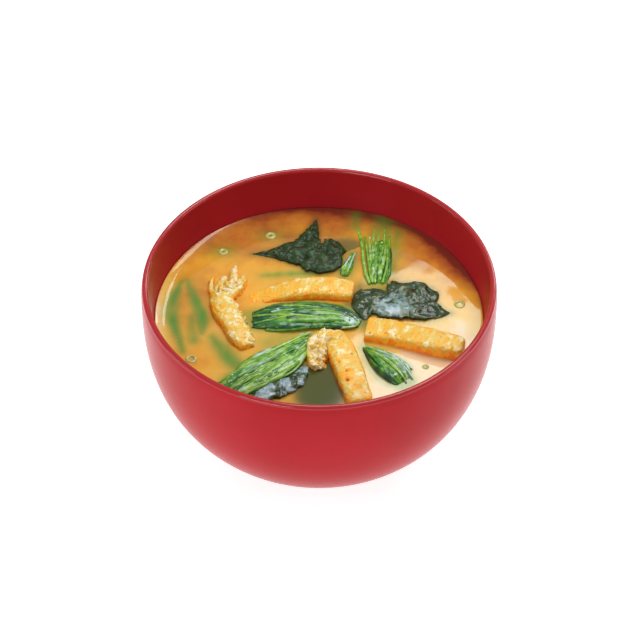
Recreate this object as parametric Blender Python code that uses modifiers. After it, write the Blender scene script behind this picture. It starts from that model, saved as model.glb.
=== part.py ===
"""A red lacquered soup bowl filled with miso soup.

The bowl stands on its foot ring, centred on the Z axis. The soup fills it to 15.5 mm below the rim.
On the soup lie strips of fried tofu, bunches of greens, pieces of wakame and a few scallion rings.
Sizes in the tables are millimetres, and MM turns them into Blender's metres.
"""

import math

import bmesh
import bpy
from mathutils import Matrix, Vector, noise

MM = 0.001

# Driving dimensions of the bowl.
HEIGHT = 67.0
RIM_RADIUS = 58.0
LIP_THICKNESS = 2.1
FOOT_RADIUS = 27.4
FOOT_WIDTH = 2.6
FOOT_HEIGHT = 4.6
FLOOR_DROP = 59.0
SOUP_DROP = 15.5

# The outer wall swells a little below the rim and then curves in as a superellipse.
BULGE_RADIUS = 58.35
BULGE_DROP = 8.7
BODY_DEPTH = 58.0
BODY_POWER = 2.4
CAVITY_POWER = 2.1
TURN_STEPS = 48

# Level of the soup above the table, and the clearance between neighbouring solids.
LEVEL = HEIGHT - SOUP_DROP
GAP = 0.5
CUT_GAP = 0.7
CUT_TOP = LEVEL + 6.0


def clear_scene():
    """Remove whatever the file held before."""
    for obj in list(bpy.data.objects):
        bpy.data.objects.remove(obj)


def new_collection(name):
    """A collection of its own, linked to the scene."""
    collection = bpy.data.collections.new(name)
    bpy.context.scene.collection.children.link(collection)
    return collection


def paint(name, colour, roughness):
    """A Principled material with one colour."""
    material = bpy.data.materials.new(name)
    material.use_nodes = True
    shader = material.node_tree.nodes["Principled BSDF"]
    shader.inputs["Base Color"].default_value = (*colour, 1.0)
    shader.inputs["Roughness"].default_value = roughness
    shader.inputs["Metallic"].default_value = 0.0
    return material


def add_object(name, mesh, collection, material=None):
    """An object for a mesh, in a collection, with its material."""
    obj = bpy.data.objects.new(name, mesh)
    collection.objects.link(obj)
    if material:
        mesh.materials.append(material)
    return obj


def as_helper(obj):
    """Mark a cutter, so that it isn't part of the object."""
    obj.hide_render = True
    obj.display_type = "WIRE"
    return obj


def smooth(rows, share):
    """A smooth curve through rows of numbers, at a share of its way from 0 to 1."""
    spans = len(rows) - 1
    place = min(max(share, 0.0), 1.0) * spans
    start = min(int(place), spans - 1)
    t = place - start
    before, here = rows[max(start - 1, 0)], rows[start]
    there, after = rows[start + 1], rows[min(start + 2, spans)]
    result = []
    for a, b, c, d in zip(before, here, there, after):
        bend = 2 * a - 5 * b + 4 * c - d
        twist = 3 * b - a - 3 * c + d
        result.append(b + 0.5 * t * (c - a + t * (bend + t * twist)))
    return result


def side_of(rows, share):
    """The direction across a route in the XY plane, to its left."""
    share = min(max(share, 0.0), 1.0)
    x0, y0 = smooth(rows, max(share - 0.01, 0.0))[:2]
    x1, y1 = smooth(rows, min(share + 0.01, 1.0))[:2]
    length = math.hypot(x1 - x0, y1 - y0)
    return -(y1 - y0) / length, (x1 - x0) / length


def route_length(rows):
    """Length of a route in the XY plane."""
    points = [smooth(rows, k / 40)[:2] for k in range(41)]
    return sum(math.dist(a, b) for a, b in zip(points, points[1:]))


def beyond(rows, share, extra):
    """A row of the route, carried on straight past its ends by up to extra."""
    row = smooth(rows, share)
    across = side_of(rows, share)
    past = extra if share >= 1 else -extra if share <= 0 else 0.0
    return [row[0] + across[1] * past, row[1] - across[0] * past, *row[2:]]


# The bowl: turned wood or resin under red lacquer, with a rounded lip and a foot ring.


def outer_radius(drop):
    """Radius of the outside wall at a drop below the rim."""
    share = abs(drop - BULGE_DROP) / BODY_DEPTH
    return BULGE_RADIUS * (1 - share**BODY_POWER) ** (1 / BODY_POWER)


def cavity_profile(top, inset, steps):
    """Radius and height of the inside wall, from the floor's centre up to a height."""
    width, depth = RIM_RADIUS - LIP_THICKNESS - inset, FLOOR_DROP - inset
    last = math.acos(((HEIGHT - top) / depth) ** (CAVITY_POWER / 2))
    points = []
    for k in range(steps + 1):
        angle = last * k / steps
        radius = width * math.sin(angle) ** (2 / CAVITY_POWER)
        points.append((radius, HEIGHT - depth * math.cos(angle) ** (2 / CAVITY_POWER)))
    return points


def turned(name, profile, collection, material):
    """A profile of radius and height, turned round the Z axis."""
    mesh = bpy.data.meshes.new(name)
    points = [(radius * MM, 0.0, height * MM) for radius, height in profile]
    mesh.from_pydata(points, [(k, k + 1) for k in range(len(points) - 1)], [])
    obj = add_object(name, mesh, collection, material)
    screw = obj.modifiers.new("turn", "SCREW")
    screw.angle = 2 * math.pi
    screw.steps = TURN_STEPS
    screw.render_steps = TURN_STEPS
    screw.use_merge_vertices = True
    screw.merge_threshold = 0.00001
    screw.use_smooth_shade = True
    return obj


def bowl_profile():
    """Inside wall from the floor's centre up, over the lip, down the outside, round the foot and in."""
    lip_steps, body_steps = 4, 10
    lip = LIP_THICKNESS / 2
    profile = cavity_profile(HEIGHT - 4 * lip, 0.0, 9)
    for k in range(lip_steps + 1):
        angle = math.pi * (1 - k / lip_steps)
        profile.append(
            (RIM_RADIUS - lip + lip * math.cos(angle), HEIGHT - lip + lip * math.sin(angle))
        )
    profile.append((outer_radius(BULGE_DROP / 2), HEIGHT - BULGE_DROP / 2))
    foot_angle = math.acos((FOOT_RADIUS / BULGE_RADIUS) ** (BODY_POWER / 2))
    for k in range(body_steps + 1):
        angle = foot_angle * k / body_steps
        drop = BULGE_DROP + BODY_DEPTH * math.sin(angle) ** (2 / BODY_POWER)
        profile.append((outer_radius(drop), HEIGHT - drop))
    chamfer = 0.5
    underside = FOOT_HEIGHT - 0.4
    profile += [
        (FOOT_RADIUS - 0.2, FOOT_HEIGHT / 2),
        (FOOT_RADIUS, chamfer),
        (FOOT_RADIUS - chamfer, 0.0),
        (FOOT_RADIUS - FOOT_WIDTH + chamfer, 0.0),
        (FOOT_RADIUS - FOOT_WIDTH, chamfer),
        (FOOT_RADIUS - FOOT_WIDTH - 0.8, underside),
        (0.0, underside),
    ]
    return profile


def add_bowl(collection):
    """The empty bowl."""
    lacquer = paint("red_lacquer", (0.42, 0.02, 0.03), 0.25)
    return turned("bowl", bowl_profile(), collection, lacquer)


# Thin and folded pieces start as a flat grid, closed to a slab and then laid in place.


def slab(name, cells_along, cells_across, place, collection, material=None):
    """A closed slab whose corners are laid by place(along, across, face).

    along runs from 0 to 1, across from -1 to 1, and face is 0 below and 1 above.
    """
    form = bmesh.new()
    bmesh.ops.create_grid(form, x_segments=cells_along, y_segments=cells_across, size=1)
    lifted = bmesh.ops.extrude_face_region(form, geom=form.faces[:], use_keep_orig=True)
    corners = [item for item in lifted["geom"] if isinstance(item, bmesh.types.BMVert)]
    bmesh.ops.translate(form, verts=corners, vec=(0, 0, 1))
    for vert in form.verts:
        x, y, z = place((vert.co.x + 1) / 2, vert.co.y, vert.co.z)
        vert.co = Vector((x, y, z)) * MM
    bmesh.ops.triangulate(form, faces=form.faces[:], quad_method="FIXED")
    bmesh.ops.recalc_face_normals(form, faces=form.faces[:])
    mesh = bpy.data.meshes.new(name)
    form.to_mesh(mesh)
    form.free()
    return add_object(name, mesh, collection, material)


def hollow(name, route, depth, collection, cells):
    """A cutter for the soup round a piece that lies in it."""

    def place(along, across, face):
        row = beyond(route, along, CUT_GAP)
        side = side_of(route, along)
        offset = across * ((row[3] if across > 0 else row[4]) + CUT_GAP)
        height = CUT_TOP if face else LEVEL - depth
        return row[0] + side[0] * offset, row[1] + side[1] * offset, height

    return as_helper(slab(name, cells, 1, place, collection))


# Wakame: thin dark seaweed, crumpled and wet.
# Each row of a route is x, y, height above the soup, then the half widths to its left and right.

WAKAME = {
    "wakame_back": {
        "lobes": [
            [
                (-21.0, 29.2, -0.1, 0.5, 0.5),
                (-15.0, 29.3, 0.2, 2.6, 2.4),
                (-8.5, 29.8, 0.5, 5.6, 5.6),
                (-2.5, 29.8, 0.7, 8.2, 8.8),
                (3.2, 28.8, 0.8, 6.0, 8.4),
                (7.0, 29.2, 0.4, 4.2, 2.6),
            ],
            [
                (-2.4, 34.0, 0.5, 2.8, 3.4),
                (-1.4, 39.0, 0.3, 2.4, 2.6),
                (-0.6, 43.5, 0.0, 1.1, 1.3),
                (-0.2, 47.4, -0.2, 0.3, 0.3),
            ],
            [(3.6, 31.0, 0.6, 2.8, 2.8), (6.6, 34.2, 0.4, 1.6, 2.0), (9.0, 37.4, 0.0, 0.4, 0.4)],
        ],
        "cells": [(15, 8), (6, 4), (4, 3)],
        "crumple": 1.15,
        "seed": 3.1,
    },
    "wakame_right": {
        "lobes": [
            [
                (11.4, 5.4, 0.0, 1.2, 1.2),
                (14.6, 4.6, 0.3, 4.6, 4.8),
                (19.4, 5.0, 0.7, 6.2, 5.8),
                (24.2, 5.0, 0.8, 7.6, 7.2),
                (28.6, 5.4, 1.0, 9.0, 7.2),
                (32.6, 4.6, 1.0, 8.2, 8.0),
                (37.4, 2.0, 0.7, 4.4, 5.2),
                (42.4, 1.0, 0.1, 0.5, 0.5),
            ]
        ],
        "cells": [(17, 8)],
        "crumple": 1.1,
        "seed": 8.7,
    },
    "wakame_front": {
        "lobes": [
            [
                (-19.4, -38.8, 0.1, 1.0, 0.8),
                (-13.6, -36.4, 0.5, 1.9, 2.4),
                (-8.2, -32.4, 0.6, 1.8, 2.6),
                (-3.4, -28.2, 0.2, 0.9, 1.2),
            ]
        ],
        "cells": [(12, 4)],
        "crumple": 0.5,
        "seed": 5.3,
    },
}
WAKAME_THICKNESS = 0.8
WAKAME_WAVE = 3.4


def wakame_place(lobe, crumple, seed):
    """How the corners of one crumpled lobe are laid. Lobes that meet share the same waves."""

    def place(along, across, face):
        row = smooth(lobe, along)
        side = side_of(lobe, along)
        fray = 1 - 0.1 * (0.5 + 0.5 * math.sin(23 * along + seed)) * abs(across)
        offset = across * fray * (row[3] if across > 0 else row[4])
        x, y = row[0] + side[0] * offset, row[1] + side[1] * offset
        spot = Vector((x / WAKAME_WAVE, y / WAKAME_WAVE, seed))
        ends = min(1.0, 8 * along, 8 * (1 - along))
        crown = 1 - 0.75 * abs(across) ** 2.5
        wave = crumple * noise.noise(spot) + 0.35 * noise.noise(spot * 2.3)
        height = row[2] + (0.5 + wave) * crown * ends - 0.35 * across**4
        return x, y, LEVEL + max(height, -0.9) + (face - 0.5) * WAKAME_THICKNESS

    return place


def add_wakame(name, facts, collection, cutters, material):
    """One crumpled piece made of its lobes, with the hollows that the soup keeps for them."""
    lobes = []
    for k, (route, cells) in enumerate(zip(facts["lobes"], facts["cells"])):
        place = wakame_place(route, facts["crumple"], facts["seed"])
        part_name = name if k == 0 else f"{name}_lobe_{k}"
        lobes.append(slab(part_name, *cells, place, collection, material))
        hollow(f"{name}_hollow_{k}", route, 2.0 - 0.05 * k, cutters, cells[0] // 2 + 2)
    fuse(lobes[0], lobes[1:])


# Greens: boiled leaves folded along their stalks. The blade is pleated and thickest along its middle.
# A stalk's points are x, y and height above the soup.

GREENS = {
    "greens_centre": {
        "route": [
            (-22.6, -2.9, 0.3, 3.2, 2.8),
            (-17.5, -2.7, 0.8, 5.4, 5.4),
            (-11.0, -2.4, 1.2, 5.4, 5.4),
            (-2.5, -1.8, 1.4, 5.0, 5.4),
            (5.0, -2.5, 1.2, 4.4, 4.6),
            (10.0, -4.2, 0.9, 3.2, 3.2),
            (13.0, -5.4, 0.4, 1.6, 1.4),
        ],
        "cells": (17, 10),
        "pleats": 3.5,
        "pleat_height": 0.75,
        "rise": 1.5,
        "lean": 0.9,
        "stems": [
            [(-19.8, -2.2, 1.7), (-10.0, -2.9, 2.9), (0.0, -3.6, 3.0), (8.6, -5.3, 1.9)],
        ],
        "stem_radius": 1.1,
    },
    "greens_front": {
        "route": [
            (-31.0, -33.4, 0.2, 2.2, 1.8),
            (-24.6, -31.6, 0.9, 5.2, 4.8),
            (-16.6, -26.2, 1.5, 6.2, 6.2),
            (-11.8, -21.8, 1.6, 6.6, 6.8),
            (-8.6, -17.6, 1.4, 5.6, 4.8),
            (-6.6, -14.6, 0.9, 3.4, 2.6),
            (-4.4, -12.4, 0.4, 1.4, 1.0),
        ],
        "cells": (16, 10),
        "pleats": 3.0,
        "pleat_height": 0.6,
        "rise": 1.6,
        "lean": -0.6,
        "stems": [
            [(-27.4, -28.2, 0.8), (-17.6, -20.4, 2.6), (-10.2, -14.4, 2.7), (-3.6, -10.1, 1.6)],
        ],
        "stem_radius": 1.3,
    },
    "greens_right": {
        "route": [
            (14.8, -16.9, 0.3, 0.9, 0.8),
            (18.4, -20.4, 0.8, 3.0, 3.2),
            (22.4, -24.4, 1.0, 5.4, 4.8),
            (26.4, -28.8, 0.8, 4.6, 4.6),
            (29.2, -32.4, 0.2, 1.6, 1.8),
        ],
        "cells": (13, 7),
        "pleats": 2.5,
        "pleat_height": 0.5,
        "rise": 1.0,
        "lean": 0.5,
        "stems": [],
        "stem_radius": 1.0,
    },
    "greens_back": {
        "route": [
            (22.3, 36.0, -0.2, 1.8, 2.6),
            (20.9, 29.5, 0.2, 2.8, 3.0),
            (19.9, 22.5, 0.5, 3.0, 2.8),
            (19.6, 15.4, 0.3, 2.4, 2.2),
        ],
        "cells": (9, 6),
        "pleats": 2.0,
        "pleat_height": 0.4,
        "rise": 0.7,
        "lean": 0.2,
        "stems": [
            [
                (12.8, 43.8, -0.5),
                (14.2, 35.6, 0.3),
                (14.6, 27.5, 0.7),
                (15.3, 19.5, 0.7),
                (18.2, 15.4, 0.4),
            ],
            [(24.4, 40.6, -0.5), (23.2, 31.0, 0.4), (21.8, 22.0, 0.9), (20.6, 15.4, 0.5)],
        ],
        "stem_radius": 1.35,
    },
    "greens_small": {
        "route": [
            (11.8, 28.8, 0.1, 0.7, 0.7),
            (10.2, 24.0, 0.6, 1.6, 1.6),
            (8.6, 19.4, 0.3, 1.9, 2.1),
        ],
        "cells": (7, 4),
        "pleats": 1.5,
        "pleat_height": 0.35,
        "rise": 0.7,
        "lean": 0.0,
        "stems": [],
        "stem_radius": 1.0,
    },
}
BLADE_EDGE = 0.7
BLADE_MIDDLE = 1.5
STEM_SEGMENTS = 9


def blade_place(facts):
    """How a pleated blade's corners are laid."""
    route = facts["route"]

    def place(along, across, face):
        row = smooth(route, along)
        side = side_of(route, along)
        offset = across * (row[3] if across > 0 else row[4])
        ends = min(1.0, 6 * along, 6 * (1 - along))
        crown = 1 - across * across
        phase = facts["pleats"] * math.pi * across + facts["lean"] * math.sin(math.pi * along)
        pleat = facts["pleat_height"] * math.cos(phase) * ends * (1 - abs(across) ** 4)
        top = row[2] + facts["rise"] * crown * ends + pleat - 0.5
        top = max(top, -0.6)
        below = BLADE_EDGE + BLADE_MIDDLE * crown * ends
        height = top if face else max(top - below, -1.4)
        return row[0] + side[0] * offset, row[1] + side[1] * offset, LEVEL + height

    return place


def stem(name, points, radius, collection, material=None):
    """A round stalk through its points, made a closed mesh."""
    curve = bpy.data.curves.new(name, "CURVE")
    curve.dimensions = "3D"
    curve.bevel_depth = radius * MM
    curve.bevel_resolution = 2
    curve.use_fill_caps = True
    spline = curve.splines.new("POLY")
    spline.points.add(STEM_SEGMENTS)
    for k, point in enumerate(spline.points):
        x, y, lift = smooth(points, k / STEM_SEGMENTS)
        point.co = (x * MM, y * MM, (LEVEL + lift) * MM, 1)
    guide = bpy.data.objects.new(f"{name}_guide", curve)
    collection.objects.link(guide)
    graph = bpy.context.evaluated_depsgraph_get()
    mesh = bpy.data.meshes.new_from_object(guide.evaluated_get(graph))
    form = bmesh.new()
    form.from_mesh(mesh)
    bmesh.ops.remove_doubles(form, verts=form.verts[:], dist=0.00001)
    bmesh.ops.recalc_face_normals(form, faces=form.faces[:])
    form.to_mesh(mesh)
    form.free()
    bpy.data.objects.remove(guide)
    mesh.name = name
    return add_object(name, mesh, collection, material)


def fuse(obj, others):
    """Join other solids to obj in one union, and remove them."""
    if not others:
        return
    group = bpy.data.collections.new(f"{obj.name}_joined")
    bpy.context.scene.collection.children.link(group)
    for other in others:
        group.objects.link(other)
        as_helper(other)
    union = obj.modifiers.new("join", "BOOLEAN")
    union.operation = "UNION"
    union.operand_type = "COLLECTION"
    union.collection = group
    union.solver = "MANIFOLD"
    bpy.context.view_layer.update()
    graph = bpy.context.evaluated_depsgraph_get()
    mesh = bpy.data.meshes.new_from_object(obj.evaluated_get(graph))
    obj.modifiers.clear()
    obj.data = mesh
    for other in others:
        bpy.data.objects.remove(other)
    bpy.data.collections.remove(group)


def add_greens(name, facts, collection, cutters, material):
    """One bunch: a pleated blade with its stalks, and its hollows in the soup."""
    blade = slab(name, *facts["cells"], blade_place(facts), collection, material)
    hollow(f"{name}_hollow", facts["route"], 2.1, cutters, facts["cells"][0] // 2 + 2)
    stalks = []
    radius = facts["stem_radius"]
    for k, points in enumerate(facts["stems"]):
        stalks.append(stem(f"{name}_stem_{k}", points, radius, collection, material))
        widths = [(*point, radius, radius) for point in points]
        hollow(f"{name}_stem_{k}_hollow", widths, 2.6 + 0.05 * k, cutters, 6)
    fuse(blade, stalks)


# Fried tofu: thick strips cut from a golden sheet, puffy and pitted, with rounded edges.
# The height in each row is that of the strip's top. A strip's further routes are the arms it is torn into.

TOFU = {
    "tofu_left": [
        [
            (-22.0, -17.0, 1.6, 1.9, 1.9),
            (-24.6, -13.6, 2.6, 2.9, 2.9),
            (-28.2, -7.8, 3.0, 3.2, 3.2),
            (-30.9, -0.6, 3.0, 3.1, 3.1),
            (-31.8, 8.4, 2.3, 2.8, 2.8),
        ],
        [
            (-32.0, 5.4, 1.9, 2.4, 2.4),
            (-31.4, 11.4, 2.5, 2.9, 2.9),
            (-29.8, 17.2, 2.3, 2.9, 2.9),
            (-28.3, 23.6, 1.2, 1.5, 1.5),
        ],
        [(-31.4, 8.8, 1.8, 1.8, 1.8), (-27.6, 10.9, 2.8, 2.2, 2.2), (-24.3, 13.0, 1.6, 1.6, 1.6)],
        [(-32.6, 8.6, 1.6, 1.5, 1.5), (-34.8, 13.2, 2.1, 1.4, 1.4), (-35.9, 18.4, 1.2, 1.0, 1.0)],
    ],
    "tofu_back": [
        [
            (-23.6, 4.9, 0.6, 1.5, 1.5),
            (-18.8, 6.0, 0.6, 1.9, 1.9),
            (-14.0, 8.4, 1.6, 3.0, 3.0),
            (-8.0, 10.6, 2.8, 4.2, 4.2),
            (0.0, 11.6, 3.1, 4.5, 4.5),
            (6.0, 11.3, 3.1, 4.5, 4.5),
            (11.2, 10.6, 2.8, 4.4, 4.4),
        ],
    ],
    "tofu_right": [
        [
            (14.4, -8.6, 2.4, 4.0, 3.8),
            (19.4, -9.3, 2.8, 4.6, 4.4),
            (26.4, -10.8, 3.2, 4.6, 4.4),
            (33.4, -12.7, 3.7, 4.9, 4.6),
            (40.4, -14.6, 4.2, 4.8, 4.5),
            (47.0, -16.8, 4.3, 4.2, 4.2),
        ],
    ],
    "tofu_front": [
        [
            (4.4, -12.4, 3.8, 3.7, 3.7),
            (7.6, -17.6, 4.4, 4.4, 4.4),
            (9.3, -24.4, 4.3, 4.6, 4.6),
            (10.7, -32.4, 3.8, 4.6, 4.6),
            (13.2, -41.4, 2.8, 4.3, 4.3),
        ],
        [(4.6, -12.9, 3.5, 3.0, 3.0), (1.4, -16.2, 3.9, 3.2, 3.2), (-0.2, -22.6, 2.2, 3.2, 3.2)],
    ],
}
TOFU_SINK = 2.6
TOFU_EDGE_POWER = 3.2
TOFU_BUMP = 0.35
TOFU_WAVE = 2.6


def tofu_strip(name, route, rings, sides, collection, material):
    """A puffy strip along a route, with blunt ends."""
    form = bmesh.new()
    bmesh.ops.create_uvsphere(form, u_segments=sides, v_segments=rings, radius=1)
    for vert in form.verts:
        along = 0.5 + math.asin(max(-1.0, min(1.0, vert.co.z))) / math.pi
        angle = math.atan2(vert.co.y, vert.co.x)
        taper = (1 - abs(2 * along - 1) ** 9) ** (1 / 3)
        row = smooth(route, along)
        side = side_of(route, along)
        wide, high = math.cos(angle), math.sin(angle)
        wide = math.copysign(abs(wide) ** (2 / TOFU_EDGE_POWER), wide) * taper
        high = math.copysign(abs(high) ** (2 / TOFU_EDGE_POWER), high) * taper
        offset = wide * (row[3] if wide > 0 else row[4])
        z = (row[2] - TOFU_SINK + high * (row[2] + TOFU_SINK)) / 2
        spot = Vector((row[0] + offset, row[1], z)) / TOFU_WAVE
        offset *= 1 + TOFU_BUMP * (noise.noise(spot) - 0.5)
        z += TOFU_BUMP * noise.noise(spot * 1.7)
        x, y = row[0] + side[0] * offset, row[1] + side[1] * offset
        vert.co = Vector((x, y, LEVEL + z)) * MM
    mesh = bpy.data.meshes.new(name)
    form.to_mesh(mesh)
    form.free()
    return add_object(name, mesh, collection, material)


def add_tofu(name, routes, collection, cutters, material):
    """A strip with its arms, and their hollows in the soup."""
    arms = []
    for k, route in enumerate(routes):
        rings, sides = (18, 14) if k == 0 else (9, 10)
        part_name = name if k == 0 else f"{name}_arm_{k}"
        arms.append(tofu_strip(part_name, route, rings, sides, collection, material))
        depth = TOFU_SINK + TOFU_BUMP + CUT_GAP - 0.1 * k
        hollow(f"{name}_hollow_{k}", route, depth, cutters, rings // 3 + 2)
    fuse(arms[0], arms[1:])


# Scallion: thin slices of a young onion leaf that float on the soup. Rows: x, y, radius, height.

SCALLION_RINGS = [
    (-32.6, 31.4, 1.9, 0.12),
    (-16.6, 39.6, 2.1, 0.08),
    (46.6, 5.2, 1.9, 0.12),
    (-41.6, -20.6, 1.9, 0.12),
    (34.4, -24.2, 1.3, 0.12),
]
SCALLION_WALL = 0.5


def scallion_ring(name, row, collection):
    """One slice, joined to the soup that carries it."""
    x, y, radius, lift = row
    bpy.ops.mesh.primitive_torus_add(
        location=(x * MM, y * MM, (LEVEL + lift) * MM),
        major_radius=(radius - SCALLION_WALL) * MM,
        minor_radius=SCALLION_WALL * MM,
        major_segments=12,
        minor_segments=5,
    )
    ring = bpy.context.object
    ring.name = name
    for owner in list(ring.users_collection):
        owner.objects.unlink(ring)
    collection.objects.link(ring)
    return ring


# The soup: fills the bowl up to its level, cut round everything that lies in it.


def soup_profile():
    """The level from its centre out, then down along the bowl's wall to the floor."""
    return [(0.0, LEVEL)] + cavity_profile(LEVEL, GAP, 7)[::-1]


def add_soup(collection, cutters, material):
    """The soup's solid with its hollows cut and its scallion rings joined on."""
    soup = turned("soup", soup_profile(), collection, material)
    cut = soup.modifiers.new("hollows", "BOOLEAN")
    cut.operation = "DIFFERENCE"
    cut.operand_type = "COLLECTION"
    cut.collection = cutters
    cut.solver = "MANIFOLD"
    rings = [scallion_ring(f"ring_{k}", row, collection) for k, row in enumerate(SCALLION_RINGS)]
    fuse(soup, rings)
    return soup


def main():
    """Build every piece."""
    clear_scene()
    dish = new_collection("miso_soup")
    cutters = new_collection("cutters")
    add_bowl(dish)
    seaweed = paint("wakame", (0.02, 0.045, 0.02), 0.3)
    leaf = paint("greens", (0.06, 0.26, 0.05), 0.4)
    crust = paint("fried_tofu", (0.85, 0.5, 0.12), 0.6)
    broth = paint("broth", (0.66, 0.36, 0.12), 0.2)
    for name, facts in WAKAME.items():
        add_wakame(name, facts, dish, cutters, seaweed)
    for name, facts in GREENS.items():
        add_greens(name, facts, dish, cutters, leaf)
    for name, routes in TOFU.items():
        add_tofu(name, routes, dish, cutters, crust)
    add_soup(dish, cutters, broth)


main()
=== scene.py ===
"""The looks of a red lacquered bowl of miso soup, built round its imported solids."""

import math
import random

import bmesh
import bpy
import numpy as np
from mathutils import Matrix, Vector, noise


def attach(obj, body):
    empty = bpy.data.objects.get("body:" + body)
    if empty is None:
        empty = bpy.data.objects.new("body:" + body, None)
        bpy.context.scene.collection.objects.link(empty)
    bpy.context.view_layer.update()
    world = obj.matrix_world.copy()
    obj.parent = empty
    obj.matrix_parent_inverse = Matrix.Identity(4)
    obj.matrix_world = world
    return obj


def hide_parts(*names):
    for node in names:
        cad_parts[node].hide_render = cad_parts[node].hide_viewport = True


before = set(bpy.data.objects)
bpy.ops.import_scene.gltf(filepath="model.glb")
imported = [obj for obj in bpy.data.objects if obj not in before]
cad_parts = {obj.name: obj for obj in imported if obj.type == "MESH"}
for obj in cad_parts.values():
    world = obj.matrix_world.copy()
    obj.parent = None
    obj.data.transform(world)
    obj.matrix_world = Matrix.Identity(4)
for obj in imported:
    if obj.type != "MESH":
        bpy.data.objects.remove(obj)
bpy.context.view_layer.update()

# The bowl: turned wood or pressed resin, sprayed with red urethane lacquer inside and out.
# The lip is rounded over by hand and polished, and the bowl stands on a low turned foot ring.

MM = 0.001
HEIGHT = 67.0
RIM_RADIUS = 58.0
LIP_THICKNESS = 2.1
BULGE_RADIUS, BULGE_DROP = 58.35, 8.7
BODY_DEPTH, BODY_POWER = 58.0, 2.4
FLOOR_DROP, CAVITY_POWER = 59.0, 2.1
FOOT_RADIUS, FOOT_WIDTH, FOOT_HEIGHT = 27.4, 2.6, 4.6
BOWL_SEGMENTS = 192


def body_radius(drop):
    """Radius of the bowl's outside at a drop below the rim."""
    share = abs(drop - BULGE_DROP) / BODY_DEPTH
    return BULGE_RADIUS * (1 - share**BODY_POWER) ** (1 / BODY_POWER)


def cavity_wall(top, inset, steps):
    """Radius and height of the bowl's inside, from the floor's centre up to a height."""
    width, depth = RIM_RADIUS - LIP_THICKNESS - inset, FLOOR_DROP - inset
    last = math.acos(((HEIGHT - top) / depth) ** (CAVITY_POWER / 2))
    wall = []
    for k in range(steps + 1):
        angle = last * k / steps
        radius = width * math.sin(angle) ** (2 / CAVITY_POWER)
        wall.append((radius, HEIGHT - depth * math.cos(angle) ** (2 / CAVITY_POWER)))
    return wall


def finish(name, settings):
    """A material with its shader's sockets set, and the tree to which its pattern is added."""
    material = bpy.data.materials.new(name)
    material.use_nodes = True
    tree = material.node_tree
    shader = tree.nodes["Principled BSDF"]
    for socket, value in settings.items():
        shader.inputs[socket].default_value = value
    return material, tree, shader


def mottle(tree, size, detail=3.0, roughness=0.5):
    """A soft random pattern with spots of a size in millimetres."""
    place = tree.nodes.new("ShaderNodeTexCoord")
    spots = tree.nodes.new("ShaderNodeTexNoise")
    spots.inputs["Scale"].default_value = 1 / (size * MM)
    spots.inputs["Detail"].default_value = detail
    spots.inputs["Roughness"].default_value = roughness
    tree.links.new(place.outputs["Object"], spots.inputs["Vector"])
    return spots.outputs["Fac"]


def shades(tree, factor, stops):
    """Colours laid out over a factor. Each stop is a place and a colour."""
    ramp = tree.nodes.new("ShaderNodeValToRGB")
    tree.links.new(factor, ramp.inputs["Fac"])
    points = ramp.color_ramp.elements
    while len(points) < len(stops):
        points.new(0.5)
    for point, (spot, colour) in zip(points, stops):
        point.position = spot
        point.color = (*colour, 1.0)
    return ramp.outputs["Color"]


def blend_colours(tree, factor, first, second, way="MIX"):
    """One colour over another by a factor."""
    mix = tree.nodes.new("ShaderNodeMix")
    mix.data_type = "RGBA"
    mix.blend_type = way
    if isinstance(factor, float):
        mix.inputs["Factor"].default_value = factor
    else:
        tree.links.new(factor, mix.inputs["Factor"])
    for place, colour in ((6, first), (7, second)):
        if isinstance(colour, tuple):
            mix.inputs[place].default_value = (*colour, 1.0)
        else:
            tree.links.new(colour, mix.inputs[place])
    return mix.outputs[2]


def relief(tree, shader, factor, depth):
    """Fine relief of a depth in millimetres."""
    bump = tree.nodes.new("ShaderNodeBump")
    bump.inputs["Distance"].default_value = depth * MM
    tree.links.new(factor, bump.inputs["Height"])
    tree.links.new(bump.outputs["Normal"], shader.inputs["Normal"])


def piece(name, form, material, slot, *nodes):
    """The finished mesh as a piece of the part, which stands for its CAD nodes if it has any."""
    mesh = bpy.data.meshes.new(name)
    form.to_mesh(mesh)
    form.free()
    mesh.materials.append(material)
    mesh.shade_smooth()
    obj = bpy.data.objects.new(name, mesh)
    bpy.context.scene.collection.objects.link(obj)
    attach(obj, "root")
    if nodes:
        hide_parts(*nodes)
    return obj


def bowl_section():
    """Half of the bowl's section, from the floor's centre over the lip to the underside's centre."""
    lip = LIP_THICKNESS / 2
    section = cavity_wall(HEIGHT - 3 * lip, 0.0, 40)
    for k in range(13):
        angle = math.pi * (1 - k / 12)
        section.append((RIM_RADIUS - lip + lip * math.cos(angle), HEIGHT - lip + lip * math.sin(angle)))
    for k in range(1, 5):
        drop = lip + (BULGE_DROP - lip) * k / 5
        section.append((body_radius(drop), HEIGHT - drop))
    last = math.acos((FOOT_RADIUS / BULGE_RADIUS) ** (BODY_POWER / 2))
    for k in range(41):
        drop = BULGE_DROP + BODY_DEPTH * math.sin(last * k / 40) ** (2 / BODY_POWER)
        section.append((body_radius(drop), HEIGHT - drop))
    inner = FOOT_RADIUS - FOOT_WIDTH
    section += [
        (FOOT_RADIUS - 0.25, FOOT_HEIGHT - 0.8),
        (FOOT_RADIUS - 0.15, FOOT_HEIGHT / 2),
        (FOOT_RADIUS, 0.6),
        (FOOT_RADIUS - 0.15, 0.2),
        (FOOT_RADIUS - 0.5, 0.0),
        (inner + 0.5, 0.0),
        (inner + 0.15, 0.2),
        (inner, 0.6),
        (inner - 0.5, FOOT_HEIGHT - 1.0),
        (inner - 1.4, FOOT_HEIGHT - 0.4),
        (0.0, FOOT_HEIGHT - 0.4),
    ]
    return section


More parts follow.
